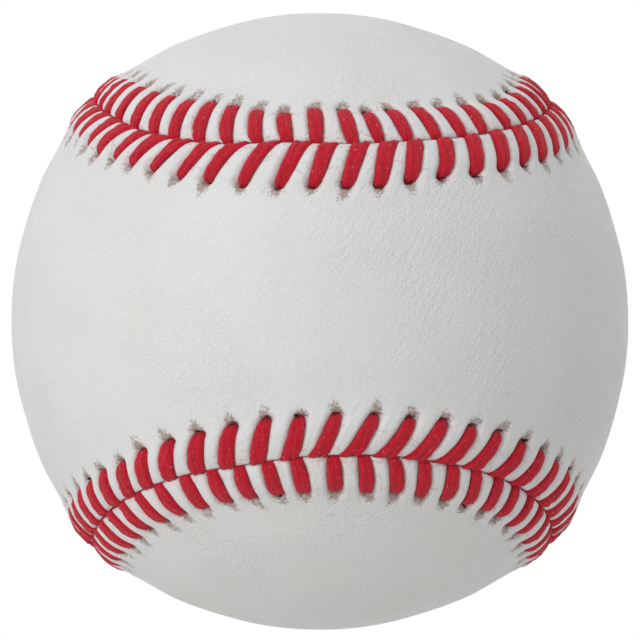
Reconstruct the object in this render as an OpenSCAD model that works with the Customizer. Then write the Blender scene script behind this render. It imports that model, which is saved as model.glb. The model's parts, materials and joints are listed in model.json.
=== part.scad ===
// Baseball: a cushioned cork core, four yarn windings, two leather panels and the sewn seam.
// Millimetres, +Z up, origin at the centre of the ball.
// The waist of the front panel faces -Y and its two lobes reach round to +X and -X.
// A place on the cover is given by u, the way along the seam, and v, the way from the seam
// into a panel. Heights are counted from the smooth leather.

/* [Cover] */
// Diameter over the smooth leather, away from the seam
ball_d = 73.1; // [71:0.1:76]
// Thickness of the leather
leather_t = 1.27; // [1.1:0.01:1.5]
// Room for the glue between the leather and the yarn
glue_gap = 0.2; // [0.18:0.01:0.3]
// Gap between the two leather edges along the seam
seam_gap = 0.2; // [0.1:0.05:0.3]
// Height of the leather that puffs up between two stitches
puff_h = 1.5; // [1.3:0.05:1.8]
// Height of the puff where it ends at the seam
edge_h = 0.95; // [0.7:0.05:1.2]
// Height of the puff beside a needle hole
shoulder_h = 1.15; // [0.9:0.05:1.4]
// Height of the leather just past the needle holes
rim_h = 0.75; // [0.5:0.05:1]
// Height of the broad swell that carries the seam
swell_h = 0.5; // [0.3:0.05:0.6]
// Distance from the seam at which the swell starts
swell_start = 7; // [6.8:0.1:8]
// Distance from the seam at which the swell has gone
swell_end = 17; // [14:0.5:20]

/* [Seam line] */
// Degrees that the seam swings to each side of the plane between the panels
swing = 63.68; // [62:0.02:66]
// Degrees by which the swing is flattened at the waists
swing_ripple = 1.67; // [0:0.01:3]
// Degrees that the seam sways sideways on its way round
sway = 19.1; // [17:0.1:22]
// Degrees of the finer sideways sway
sway_ripple = -0.08; // [-1:0.02:1]

/* [Stitches] */
// Number of double stitches, a multiple of four
stitches = 108; // [100:4:116]
// Distance from the seam to a leg's foot in its needle hole on the front panel
front_reach = 5; // [4.85:0.05:5.15]
// Distance from the seam to a leg's foot in its needle hole on the rear panel
rear_reach = 4.3; // [4.2:0.05:4.6]
// Diameter of one strand of the waxed thread
strand_d = 0.98; // [0.8:0.01:1]
// Distance between the two strands that lie side by side
strand_step = 0.78; // [0.7:0.01:0.8]
// Height of the strands' centre line where a leg crosses the puffs
crown_h = 1.05; // [0.95:0.01:1.2]
// Degrees by which a leg turns down at each foot
dip = 58; // [54:1:60]
// Lead of a leg's seam end over its hole on the front panel
front_lead = 2.05; // [1.2:0.05:2.2]
// Lead of a leg's seam end over its hole on the rear panel
rear_lead = 0.6; // [0.3:0.1:1.2]
// Room round the thread in its hole and its valley
thread_clear = 0.1; // [0.08:0.01:0.14]
// Thickness of the thread where it is pressed flat below the leather
run_t = 0.55; // [0.45:0.01:0.6]
// Width of the thread where it is pressed flat below the leather
run_w = 1.4; // [1.2:0.05:1.5]
// Room round the flattened thread
run_clear = 0.06; // [0.05:0.01:0.1]

/* [Windings] */
// Thickness of the white three-ply winding
white_wool_t = 1.6; // [1.2:0.1:2]
// Thickness of the outer grey three-ply winding
outer_grey_t = 2.25; // [1.8:0.05:2.6]
// Thickness of the fine finishing winding
finishing_t = 0.55; // [0.4:0.05:0.8]

/* [Core] */
// Diameter of the cork core
cork_d = 20.6; // [19:0.1:22]
// Thickness of the black rubber half shells
black_rubber_t = 4; // [3.5:0.1:4.5]
// Thickness of the red rubber layer
red_rubber_t = 2.4; // [2:0.1:3]
// Width of the washers in the joint of the half shells
washer_w = 2.4; // [2:0.1:2.8]
// Thickness of one washer
washer_t = 1.2; // [0.8:0.1:1.6]

/* [Hidden] */

leather = "#e3dfd5";
thread = "#c01f35";
$fn = 64;

// Layers, from the outside in
ball_r = ball_d / 2;
wound_r = ball_r - leather_t - glue_gap;
finishing_r = wound_r - finishing_t;
outer_grey_r = finishing_r - outer_grey_t;
white_wool_r = outer_grey_r - white_wool_t;
cork_r = cork_d / 2;
black_r = cork_r + black_rubber_t;
pill_r = black_r + red_rubber_t;

// Seam line: a direction from the centre, for a turn of 0 to 720 degrees
seam_steps = 720;
function seam_dir(turn) =
    let (fall = 90 - swing * cos(turn) + swing_ripple * cos(3 * turn),
         round = turn / 2 + sway * sin(2 * turn) + sway_ripple * sin(4 * turn))
    [sin(fall) * sin(round), -cos(fall), sin(fall) * cos(round)];
seam_points = [for (i = [0:seam_steps]) seam_dir(i) * ball_r];
seam_lengths = [for (i = 0, s = 0; i <= seam_steps;
                     s = s + (i < seam_steps ? norm(seam_points[i + 1] - seam_points[i]) : 0),
                     i = i + 1) [s, i]];
seam_length = seam_lengths[seam_steps][0];
pitch = seam_length / stitches;

// Direction of a place (u, v) on the panel of one side: 1 is the front panel, -1 the rear one
function unit(p) = p / norm(p);
function arc_degrees(length) = length / ball_r * 180 / PI;
function whole(u) = u - seam_length * floor(u / seam_length);
function place(side, u, v) =
    let (turn = lookup(whole(u), seam_lengths), p = seam_dir(turn),
         along = unit(seam_dir(turn + 1) - seam_dir(turn - 1)), a = arc_degrees(v))
    p * cos(a) + side * cross(along, p) * sin(a);

// Stitches: leg k of a side arches from its foot in the hole to its foot in the seam
hole_phase_share = 0.2;
steepest_share = 0.46;
strand_r = strand_d / 2;
near_v = seam_gap / 2 + strand_r * sin(dip) + strand_step / 2 * steepest_share;
function foot_v(side) = side > 0 ? front_reach : rear_reach;
function middle_v(side) = (near_v + foot_v(side)) / 2;
function span_v(side) = foot_v(side) - near_v;
function lead(side) = side > 0 ? front_lead : rear_lead;
function lean(side) = atan(lead(side) / span_v(side));
function arch_r(side) = span_v(side) / 2 / sin(dip) / cos(lean(side));
function arch_mid_h(side) = crown_h - arch_r(side);
function hole_u(k) = (k + hole_phase_share) * pitch;
function leg_u(side, k, v) = hole_u(k) + lead(side) * (foot_v(side) - v) / span_v(side);
run_r = wound_r + run_clear + run_t / 2;
run_top_r = run_r + run_t / 2;

// Room for a leg: the leather stays inside the smaller circle and outside the larger one
function room(side) = strand_r + thread_clear + strand_step / 2 * sin(lean(side));
function under_r(side) = arch_r(side) - room(side);
function over_r(side) = arch_r(side) + room(side);
function reach(side, r, h) = sqrt(pow(r, 2) - pow(h - arch_mid_h(side), 2)) * cos(lean(side));
function half_valley(side) = (strand_r + strand_step / 2 + thread_clear) / cos(lean(side));

// Leather panel: rows run beside the seam and columns run along the legs.
// Each stitch has four columns, the two sides of its valley and the two sides of the puff.
puff_side_share = 0.26;
rim_under_h = run_top_r + run_clear - ball_r;
across_cells = 7;
function column_shift(side, i) =
    let (valley = half_valley(side), puff = pitch - 2 * valley)
    [-valley, valley, valley + puff * puff_side_share, valley + puff * (1 - puff_side_share)][i];
function column(side, k, i, v, h) =
    place(side, leg_u(side, k, v) + column_shift(side, i), v) * (ball_r + h);

// A row is given by v and h in its valleys and on its puffs
function outer_rows(side) =
    let (near = reach(side, under_r(side), 0), far = reach(side, over_r(side), rim_h),
         middle = middle_v(side))
    [[middle - near, 0, seam_gap / 2, edge_h],
     [middle, arch_mid_h(side) + under_r(side), middle, puff_h],
     [middle + near, 0, middle + near, shoulder_h],
     [middle + far, rim_h, middle + far, rim_h]];
// The far wall of a hole slopes past the foot of its leg
function hole_far_reach(side) =
    let (top = reach(side, over_r(side), rim_h), foot = over_r(side) * sin(dip) * cos(lean(side)),
         foot_h = arch_mid_h(side) + over_r(side) * cos(dip))
    top + (foot - top) * (rim_h - rim_under_h) / (rim_h - foot_h);
function inner_row_v(side, row) =
    let (near = reach(side, under_r(side), rim_under_h))
    middle_v(side) + [-near, near, hole_far_reach(side)][row];
function row_points(side, row) =
    [for (k = [0:stitches - 1], i = [0:3])
        column(side, k, i, row[i < 2 ? 0 : 2], row[i < 2 ? 1 : 3])];
function edge_under_points(side) =
    row_points(side, [inner_row_v(side, 0), rim_under_h, seam_gap / 2, rim_under_h]);
function under_points(side, row) =
    [for (k = [0:stitches - 1], i = [0, 1])
        column(side, k, i, inner_row_v(side, row), rim_under_h)];

// The field of a panel is crossed by ribs between facing places of its border
tip = stitches / 4;
half_count = stitches / 2;
function tip_of(side) = side > 0 ? tip : 0;
function border(side) = [for (k = [0:stitches - 1]) place(side, k * pitch, swell_start)];
function ease(t) = t < 0 ? 0 : t > 1 ? 1 : t * t * (3 - 2 * t);
function swell_at(p) =
    let (near = max([for (i = [0:3:seam_steps]) seam_points[i] * p]) / ball_r,
         v = acos(min(near, 1)) * PI / 180 * ball_r)
    swell_h * (1 - ease((v - swell_start) / (swell_end - swell_start)));
function rib_point(a, b, share) =
    let (angle = acos(a * b)) (a * sin(angle * (1 - share)) + b * sin(angle * share)) / sin(angle);
function field_points(side, thickness) =
    let (rim = border(side), t = tip_of(side))
    [for (m = [1:half_count - 1], c = [1:across_cells - 1])
        let (p = rib_point(rim[(t + m) % stitches], rim[(t - m + stitches) % stitches],
                           c / across_cells))
        p * (ball_r + swell_at(p) - thickness)];
function border_points(side, thickness) = border(side) * (ball_r + swell_h - thickness);

// Faces: each index function numbers one block of points
field_count = (half_count - 1) * (across_cells - 1);
inner_start = 17 * stitches + field_count;
function outer_id(row, k, i) = row * 4 * stitches + (4 * k + i) % (4 * stitches);
function border_id(start, k) = start + (k + stitches) % stitches;
function edge_under_id(k, i) = inner_start + (4 * k + i) % (4 * stitches);
function under_id(row, k, i) =
    inner_start + (4 + 2 * (row - 1)) * stitches + (2 * k + i) % (2 * stitches);
outer_border = 16 * stitches;
inner_border = inner_start + 8 * stitches;
function quad(a, b, c, d) = [[a, b, c], [a, c, d]];
function turned(faces) = [for (f = faces) [f[2], f[1], f[0]]];
function flat(lists) = [for (l = lists) each l];

function outer_faces() = flat([
    for (k = [0:stitches - 1], row = [0:2], i = [0:3])
        if (row < 2 || i > 0)
            quad(outer_id(row, k, i), outer_id(row, k, i + 1),
                 outer_id(row + 1, k, i + 1), outer_id(row + 1, k, i))]);
function border_faces() = flat([
    for (k = [0:stitches - 1])
        let (a = border_id(outer_border, k), b = border_id(outer_border, k + 1),
             d = [for (i = [0:4]) outer_id(3, k, i)])
        [[d[0], d[1], a], [d[1], d[2], a], [d[2], b, a], [d[2], d[3], b], [d[3], d[4], b]]]);
function under_faces() = flat([
    for (k = [0:stitches - 1])
        let (a = border_id(inner_border, k), b = border_id(inner_border, k + 1),
             e = [for (i = [0:4]) edge_under_id(k, i)],
             c = [for (i = [0:2]) under_id(1, k, i)],
             d = [for (i = [0:2]) under_id(2, k, i)])
        concat(quad(e[0], e[1], c[1], c[0]),
               [[e[1], e[2], c[1]], [e[2], e[3], c[1]], [e[3], c[2], c[1]], [e[3], e[4], c[2]]],
               quad(c[1], c[2], d[2], d[1]),
               [[d[0], d[1], a], [d[1], b, a], [d[1], d[2], b]])]);
function edge_faces() = flat([
    for (k = [0:stitches - 1], i = [0:3])
        quad(outer_id(0, k, i), edge_under_id(k, i),
             edge_under_id(k, i + 1), outer_id(0, k, i + 1))]);
function hole_faces() = flat([
    for (k = [0:stitches - 1])
        let (o = [outer_id(2, k, 0), outer_id(2, k, 1), outer_id(3, k, 1), outer_id(3, k, 0)],
             n = [under_id(1, k, 0), under_id(1, k, 1), under_id(2, k, 1), under_id(2, k, 0)])
        flat([for (i = [0:3]) quad(o[i], o[(i + 1) % 4], n[(i + 1) % 4], n[i])])]);
function field_id(side, start, m, c) =
    let (t = tip_of(side))
    c == 0 ? border_id(start, t + m) :
    c == across_cells ? border_id(start, t - m) :
    start + stitches + (m - 1) * (across_cells - 1) + c - 1;
function field_faces(side, start) = concat(
    flat([for (m = [1:half_count - 2], c = [0:across_cells - 1])
        quad(field_id(side, start, m, c), field_id(side, start, m + 1, c),
             field_id(side, start, m + 1, c + 1), field_id(side, start, m, c + 1))]),
    [for (c = [0:across_cells - 1])
        [border_id(start, tip_of(side)), field_id(side, start, 1, c),
         field_id(side, start, 1, c + 1)]],
    [for (c = [0:across_cells - 1])
        [border_id(start, tip_of(side) + half_count),
         field_id(side, start, half_count - 1, c + 1),
         field_id(side, start, half_count - 1, c)]]);

module cover_panel(side) {
    points = concat(
        flat([for (row = outer_rows(side)) row_points(side, row)]),
        border_points(side, 0),
        field_points(side, 0),
        edge_under_points(side),
        under_points(side, 1),
        under_points(side, 2),
        border_points(side, leather_t),
        field_points(side, leather_t));
    faces = concat(
        outer_faces(), border_faces(), field_faces(side, outer_border),
        edge_faces(), hole_faces(),
        turned(under_faces()), turned(field_faces(side, inner_border)));
    polyhedron(points, side > 0 ? faces : turned(faces));
}

// Section of the thread: two strands side by side
module strand_pair() {
    for (s = [-1, 1])
        translate([0, s * strand_step / 2])
            circle(strand_r);
}

// One leg of a stitch: an arch that ends in the hole and in the seam
module leg(side) {
    translate([0, ball_r + arch_mid_h(side), 0])
        rotate_extrude(angle = 2 * dip, start = 90 - dip)
            translate([arch_r(side), 0])
                strand_pair();
}

// Turns the X axis to a direction along the ball and the Y axis to one that points out of it
module laid(along, out) {
    x = unit(along - out * (along * out));
    z = cross(x, out);
    multmatrix([[x[0], out[0], z[0], 0], [x[1], out[1], z[1], 0], [x[2], out[2], z[2], 0],
                [0, 0, 0, 1]])
        children();
}

module legs(side) {
    for (k = [0:stitches - 1]) {
        from = place(side, leg_u(side, k, near_v), near_v);
        to = place(side, hole_u(k), foot_v(side));
        laid(to - from, unit(from + to))
            leg(side);
    }
}

// Flattened thread on the yarn, from a leg's end at the seam to the next hole of the other panel
module runs(side) {
    from_v = seam_gap / 2 + run_w / 4;
    to_v = foot_v(side) + strand_r;
    for (k = [0:stitches - 1]) {
        from = place(side, leg_u(-side, k, near_v), from_v);
        to = place(side, hole_u(k + 1), to_v);
        laid(to, from)
            rotate_extrude(angle = -acos(from * to), start = 90)
                translate([run_r, 0]) {
                    square([run_t, run_w - run_t], center = true);
                    for (s = [-1, 1])
                        translate([0, s * (run_w - run_t) / 2])
                            circle(run_t / 2);
                }
    }
}

module layer(outer_r, inner_r) {
    difference() {
        sphere(outer_r);
        sphere(inner_r);
    }
}

// Ring in the joint of the half shells, hollowed to fit the cork
module washer() {
    difference() {
        cylinder(r = cork_r + washer_w, h = washer_t);
        sphere(cork_r);
    }
}

module half_shell() {
    intersection() {
        difference() {
            sphere(black_r);
            sphere(cork_r);
            cylinder(r = cork_r + washer_w, h = washer_t);
        }
        translate([-black_r, -black_r, 0])
            cube([2 * black_r, 2 * black_r, black_r]);
    }
}

module cork_core() { color("#b98a55") sphere(cork_r); }
module black_half_shell_upper() { color("#2a2a2c") half_shell(); }
module black_half_shell_lower() { color("#2a2a2c") rotate([180, 0, 0]) half_shell(); }
module washer_upper() { color("#a8342c") washer(); }
module washer_lower() { color("#a8342c") rotate([180, 0, 0]) washer(); }
module red_rubber_layer() { color("#b4403a") layer(pill_r, black_r); }
module grey_wool_winding_inner() { color("#8d8a86") layer(white_wool_r, pill_r); }
module white_wool_winding() { color("#e8e4da") layer(outer_grey_r, white_wool_r); }
module grey_wool_winding_outer() { color("#9a9792") layer(finishing_r, outer_grey_r); }
module finishing_winding() { color("#f0ede6") layer(wound_r, finishing_r); }
module cover_panel_front() { color(leather) cover_panel(1); }
module cover_panel_rear() { color(leather) cover_panel(-1); }
module stitches_front() { color(thread) legs(1); }
module stitches_rear() { color(thread) legs(-1); }
module thread_runs_front() { color(thread) runs(1); }
module thread_runs_rear() { color(thread) runs(-1); }

cork_core();
black_half_shell_upper();
black_half_shell_lower();
washer_upper();
washer_lower();
red_rubber_layer();
grey_wool_winding_inner();
white_wool_winding();
grey_wool_winding_outer();
finishing_winding();
cover_panel_front();
cover_panel_rear();
stitches_front();
stitches_rear();
thread_runs_front();
thread_runs_rear();
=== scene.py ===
"""A regulation baseball: a sewn cover of white leather over wound yarn and a cork core.

The cover panels and the thread on them are made here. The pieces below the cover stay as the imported
model has them and get their finishes here.
"""

import functools
import json
import math

import bpy
import numpy as np
from mathutils import Matrix, Vector


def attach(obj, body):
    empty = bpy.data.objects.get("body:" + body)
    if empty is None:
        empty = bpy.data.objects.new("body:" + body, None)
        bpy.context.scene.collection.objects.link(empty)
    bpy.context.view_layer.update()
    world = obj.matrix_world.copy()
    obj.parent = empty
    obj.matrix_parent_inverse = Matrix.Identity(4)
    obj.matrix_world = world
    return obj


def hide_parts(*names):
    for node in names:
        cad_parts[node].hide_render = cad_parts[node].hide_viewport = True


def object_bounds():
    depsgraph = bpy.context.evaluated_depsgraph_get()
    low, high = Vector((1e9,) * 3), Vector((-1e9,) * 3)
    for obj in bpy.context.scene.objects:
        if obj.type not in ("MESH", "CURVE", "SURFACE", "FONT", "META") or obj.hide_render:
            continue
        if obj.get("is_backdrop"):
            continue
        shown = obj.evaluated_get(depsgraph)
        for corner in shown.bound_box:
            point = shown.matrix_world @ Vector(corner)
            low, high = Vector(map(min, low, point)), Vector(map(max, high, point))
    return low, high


bl_info = {
    "name": "Baseball",
    "version": (1, 0, 0),
    "blender": (4, 5, 0),
    "location": "View3D > Sidebar > Baseball",
    "description": "Builds the leather cover, the sewn seam and the finishes of a baseball",
    "category": "Object",
}

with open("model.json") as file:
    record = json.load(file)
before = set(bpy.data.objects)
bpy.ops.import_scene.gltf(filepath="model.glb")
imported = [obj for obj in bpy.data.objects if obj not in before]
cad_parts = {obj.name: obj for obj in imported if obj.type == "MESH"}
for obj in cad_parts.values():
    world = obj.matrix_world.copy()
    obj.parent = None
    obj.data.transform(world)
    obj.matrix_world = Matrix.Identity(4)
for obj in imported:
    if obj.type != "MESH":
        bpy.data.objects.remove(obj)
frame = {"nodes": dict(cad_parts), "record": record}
CAD_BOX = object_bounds()
MM = 0.001
# The seat of the record lies on the smooth leather, straight below the centre.
BALL_RADIUS = -frame["record"]["mounts"][0]["pos_m"][2]
SIDES = {"front": 1, "rear": -1}
# The setting that the end of a node's kind gives.
MAIN_SETTING = {
    "Math": "operation", "VectorMath": "operation", "Mix": "data_type", "MapRange": "interpolation_type",
    "TexVoronoi": "feature",
}
MASKS = ("soil", "dye", "pinhole")
# How far from the seam the wander of the groove and of the needle holes still shows.
WANDER_BAND = 8 * MM
# The yarn below makes the leather rise and fall in waves of this length, with this seed.
YARN_WAVE, YARN_SEED = 9 * MM, 3
# Pixels of the photograph: its width, and the radius and the centre of the ball's outline.
PICTURE, OUTLINE_RADIUS, OUTLINE_CENTRE = 640, 309, (319.8, 321.4)
# Width of the camera's sensor in mm.
SENSOR = 36
# How far the camera stands from the ball's centre, in ball radii.
CAMERA_FAR = 18.1
# The floor's height and radius in metres, and the corners of its rim.
FLOOR_LOW, FLOOR_RADIUS, FLOOR_CORNERS = -0.75, 4, 96
# A hand-sewn seam wanders. These are knots along it, from 0 at the top crossing to 1 once round, read off
# the photograph. Where it shows nothing, they lead evenly from one part to the next.
# How far the groove lies towards the front panel, in mm.
GROOVE_DRIFT = [
    (0, -0.3), (0.017, -0.4), (0.046, -0.3), (0.075, 0), (0.37, 0), (0.4, -0.15), (0.45, 0), (0.51, 0),
    (0.53, -0.3), (0.55, 0), (0.87, -0.1), (0.915, 0.3), (0.938, 0.6), (0.965, 0.45), (0.975, 0),
    (0.982, -0.35), (1, -0.3),
]
# How many stitches the needle holes lie ahead of an even spacing.
HOLE_DRIFT = {
    1: [
        (0, 0.14), (0.019, -0.02), (0.046, 0.12), (0.065, -0.06), (0.12, -0.1), (0.25, 0.1), (0.407, 0.35),
        (0.43, 0.25), (0.463, 0.09), (0.49, 0.04), (0.5, 0.14), (0.528, 0.1), (0.56, 0.22), (0.585, 0.12),
        (0.75, 0.4), (0.93, 0.55), (0.944, 0.27), (0.963, 0.2), (0.985, 0.24), (1, 0.14),
    ],
    -1: [
        (0, 0.24), (0.01, 0.06), (0.035, -0.02), (0.046, 0.16), (0.07, 0.23), (0.1, 0.1), (0.25, 0.03),
        (0.42, 0.12), (0.48, 0), (0.5, 0.12), (0.509, 0.27), (0.52, 0.15), (0.56, 0.27), (0.6, 0.16),
        (0.75, 0.3), (0.88, 0.4), (0.9, 0.25), (0.94, 0.24), (0.963, 0.13), (0.982, 0.1), (0.991, 0.1),
        (1, 0.24),
    ],
}
# How much further than usual the needle holes lie from the seam, in mm.
REACH_DRIFT = {
    1: [
        (0, 0.2), (0.01, 0.2), (0.02, -0.15), (0.05, -0.37), (0.09, -0.15), (0.16, 0), (0.42, 0),
        (0.47, -0.15), (0.51, -0.2), (0.53, -0.5), (0.55, -0.75), (0.574, -0.8), (0.6, -0.3), (0.65, 0),
        (0.86, 0), (0.9, -0.45), (0.92, -0.15), (0.935, -0.3), (0.97, 0.33), (1, 0.2),
    ],
    -1: [
        (0, 0.85), (0.01, 0.35), (0.025, 1), (0.046, 0.25), (0.07, -0.15), (0.083, 0.4), (0.11, 0.5),
        (0.16, 0), (0.43, 0.05), (0.48, 0.4), (0.52, 0.35), (0.56, 0.1), (0.62, 0), (0.88, 0), (0.926, 0.9),
        (0.972, 0.65), (0.981, -0.1), (0.991, 1.1), (1, 0.85),
    ],
}
# The share of its usual lead that a stitch leans.
LEAN_SHARE = {
    1: [
        (0, 0.85), (0.043, 0.8), (0.063, 1.3), (0.09, 1.2), (0.28, 1), (0.43, 0.45), (0.463, 0.9),
        (0.49, 1.05), (0.5, 0.85), (0.54, 1.05), (0.556, 0.92), (0.574, 0.85), (0.62, 1), (0.954, 1),
        (0.985, 0.9), (0.991, 0.75), (1, 0.85),
    ],
    -1: [
        (0, 1.25), (0.037, 1.2), (0.046, -0.4), (0.056, 0.6), (0.07, 1.1), (0.42, 1.4), (0.454, 2.4),
        (0.49, 1.7), (0.509, 0.5), (0.52, 1), (0.538, 0), (0.556, 0.2), (0.6, 1.4), (0.8, 1.2), (0.9, 1.9),
        (0.935, 2.5), (0.963, 2.1), (0.972, 2.1), (0.982, 1.8), (0.991, 1.2), (1, 1.25),
    ],
}
# How far the middle of a stitch bows ahead, in mm.
BOW = {
    1: [
        (0, 0), (0.03, 0.15), (0.09, 0.1), (0.2, 0), (0.5, 0), (0.53, 0.15), (0.58, 0.1), (0.7, 0),
        (0.9, -0.1), (0.97, 0.1), (1, 0),
    ],
    -1: [
        (0, 0.05), (0.03, 0.2), (0.07, 0.15), (0.2, 0), (0.42, -0.15), (0.48, -0.1), (0.52, 0.1), (0.6, 0),
        (0.85, 0), (0.91, -0.25), (0.96, -0.25), (0.975, -0.15), (0.985, 0), (1, 0.05),
    ],
}
# The share of its usual width that a stitch has.
WIDTH_SHARE = {
    1: [
        (0, 1.03), (0.03, 1.05), (0.1, 1), (0.45, 0.98), (0.5, 0.98), (0.53, 1.08), (0.58, 1.05), (0.7, 1),
        (0.9, 0.9), (0.98, 0.92), (1, 1.03),
    ],
    -1: [
        (0, 0.94), (0.1, 0.98), (0.45, 0.94), (0.5, 0.95), (0.53, 1), (0.7, 0.97), (1, 0.94),
    ],
}
# The share of the usual tail that a front stitch has.
TAIL_SHARE = [
    (0, 0.7), (0.02, 0.35), (0.04, 0.2), (0.1, 0.2), (0.2, 0.6), (0.42, 0.5), (0.44, 0.6), (0.5, 0.65),
    (0.512, 0.4), (0.53, 0.1), (0.6, 0.2), (0.7, 0.8), (0.9, 0.7), (0.95, 0.85), (0.985, 0.75), (1, 0.5),
]
# The middle line of a stitch swings on along the groove by these shares of its tail, by mm from the seam.
TAIL_HOOK = [(-0.1, 1.5), (0, 1.35), (0.15, 1), (0.3, 0.66), (0.5, 0.38), (0.8, 0.14), (1.3, 0)]
TAIL_WEDGE = [(0, 0.6), (0.8, 0.4), (1.6, 0.15), (2.8, 0)]
# Height of the leather below a stitch, and half the width of its bed as a share of the thread's width. Both
# count from the seam, with the needle holes at 5.
VALLEY = [
    (0, -0.3), (0.15, 0.15), (0.3, 0.36), (0.5, 0.45), (1, 0.52), (1.8, 0.56), (2.6, 0.57), (3.6, 0.47),
    (4.2, 0.34), (4.75, 0.24), (5.3, 0.46), (6, 0.58),
]
BED_SHARE = [(0, 0.2), (0.3, 0.33), (0.9, 0.5), (4.3, 0.5), (4.9, 0.45), (5.5, 0.3), (7, 0.1)]
# A strand's middle line has nine points on its leg: five at the hole, by mm from it, and four by the share
# of the way to the hole. Each has a height in mm above the valley, a fullness and a share of the spacing.
HOLE_V = [-0.42, -0.42, -0.46, -0.58, -0.82]
LEG_V_SHARE = [0.72, 0.58, 0.44, 0.31]
LEG_RISE = [-1.0, -0.4, 0.02, 0.28, 0.41, 0.47, 0.5, 0.51, 0.5]
LEG_FULLNESS = {
    1: [0.56, 0.62, 0.69, 0.78, 0.88, 0.97, 1.02, 1.03, 1.03],
    -1: [0.72, 0.78, 0.84, 0.9, 0.96, 1.0, 1.0, 0.98, 0.95],
}
LEG_SPREAD = {
    1: [0.9, 0.9, 0.9, 0.92, 0.95, 0.98, 1.0, 1.03] + [1.05] * 8,
    -1: [1.0] * 7 + [0.97, 0.93] + [0.85] * 7,
}
# Seven more points lead into the seam: mm from it, mm above the smooth ball, and fullness.
DIVE_V, DIVE_H = [1.05, 0.78, 0.58, 0.42, 0.31, 0.25, 0.21], [1.03, 1.0, 0.95, 0.84, 0.58, 0.1, -0.5]
SEAM_END = {
    "runs_on": (
        [1.05, 0.75, 0.52, 0.34, 0.2, 0.08, 0.0],
        [1.04, 1.02, 0.98, 0.92, 0.84, 0.66, 0.1],
        [1.04, 1.0, 0.92, 0.8, 0.66, 0.52, 0.38],
    ),
    "front": (DIVE_V, DIVE_H, [1.05, 1.03, 1.0, 0.96, 0.9, 0.82, 0.75]),
    "rear": (DIVE_V, DIVE_H, [0.92, 0.9, 0.87, 0.84, 0.8, 0.74, 0.68]),
}
# Rows of the panel's mesh beside the seam, in mm from it, after a first one on the panel's edge.
PANEL_ROWS = [
    0.14, 0.2, 0.28, 0.38, 0.5, 0.65, 0.82, 1.02, 1.26, 1.54, 1.84, 2.14, 2.44, 2.74, 3.04, 3.34, 3.64, 3.94,
    4.22, 4.48, 4.72, 4.94, 5.14, 5.34, 5.56, 5.82, 6.14, 6.52, 6.96,
]
# Two more rows have half and a quarter of the columns.
HALF_ROW, QUARTER_ROW = 7.45 * MM, 8.1 * MM
# Columns to a stitch, and spaces across the outer and the inner face of a panel.
COLUMNS, OUTER_SPACES, INNER_SPACES = 16, 44, 12
# Height of the underside where it lies over the thread, from the smooth ball.
UNDERSIDE = -0.8 * MM
# A needle hole is a slit, so many times as long as wide, with its middle so far towards the seam. The slit
# and the dip round it each have a depth and a radius.
SLIT_LONG, SLIT_INWARDS, SLIT, DIP = 1.55, 0.25 * MM, (0.6 * MM, 0.42 * MM), (0.1 * MM, 0.9 * MM)
# The soil at a hole: half its width, its reach towards the seam, and in mm its least reach outwards and
# what the dirtiest hole has on top. Then the strength and width of the painted shade along the groove,
# which the soil mask also carries.
SOIL_HALF, SOIL_INWARDS, SOIL_OUTWARDS, SOIL_MORE = 1.12 * MM, 0.25 * MM, 1.3, 1.4
GROOVE_SHADE, GROOVE_WIDE = 0.35, 0.2 * MM
# The mask of the pinhole that is painted dark as the shade in the hole: radius, how far outwards its
# middle lies, and how much it is flattened.
PIN_RADIUS, PIN_OUTWARDS, PIN_FLAT = 1.05 * MM, 0.2 * MM, 1.2
# The thread's dye: strength, distance from a stitch's middle line, and width of its faded edge.
DYE, DYE_FROM, DYE_EDGE = 0.08, 0.9 * MM, 0.2 * MM


def linear(code):
    """An sRGB hex colour as linear RGBA."""
    parts = [int(code[i : i + 2], 16) / 255 for i in (1, 3, 5)]
    return [c / 12.92 if c <= 0.04045 else ((c + 0.055) / 1.055) ** 2.4 for c in parts] + [1.0]


def number(name, description, default, **limits):
    """A number property, whole where its default is."""
    kind = bpy.props.IntProperty if isinstance(default, int) else bpy.props.FloatProperty
    return kind(name=name, description=description, default=default, **limits)


def length(name, description, default, soft_max=0.02):
    """A length property in metres."""
    return number(name, description, default, min=0.0, soft_max=soft_max, precision=5, unit="LENGTH")


def colour(name, description, code):
    """A colour property, given as sRGB hex."""
    return bpy.props.FloatVectorProperty(
        name=name, description=description, default=linear(code), size=4, min=0.0, max=1.0, subtype="COLOR"
    )


class BaseballLeather(bpy.types.PropertyGroup):
    """Sizes and colours of the leather cover."""

    radius: length("Ball radius", "Radius of the smooth leather, away from the seam", BALL_RADIUS, 0.05)
    thickness: length("Leather thickness", "Thickness of the cover leather", 1.27 * MM)
    gap: length("Seam gap", "Gap between the two panels at the seam", 0.2 * MM)
    puff: length("Puff height", "Height of the leather between the stitches", 1.34 * MM)
    swell: length("Swell height", "Height of the leather just outside the needle holes", 0.5 * MM)
    unevenness: length("Unevenness", "How far the wound yarn makes the leather rise and fall", 0.03 * MM)
    grain: length("Grain width", "Width of one pebble of the hide's grain", 0.5 * MM)
    grain_depth: length("Grain depth", "Depth of the creases of the grain", 0.03 * MM)
    white: colour("Leather", "Colour of the clean hide", "#EBECED")
    ivory: colour("Leather patches", "Warmer colour of the patches in the hide", "#EAE9E7")
    # The soil colour also serves for the painted shade along the groove.
    soil: colour("Soil", "Colour of torn and soiled leather", "#C4A28F")
    dye: colour("Dye", "Colour that the thread leaves on the leather next to it", "#D98C8E")


class BaseballSeam(bpy.types.PropertyGroup):
    """The line that the seam takes round the ball."""

    swing: number("Swing", "How far the seam swings to and fro, in degrees", 63.68)
    swing_ripple: number("Swing ripple", "Ripple of the swing, in degrees", 1.67)
    sway: number("Sway", "How far the seam sways sideways, in degrees", 19.1)
    sway_ripple: number("Sway ripple", "Ripple of the sway, in degrees", -0.08)
    stitches: number("Stitches", "Double stitches round the whole seam", 108, min=12, max=200)


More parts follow.
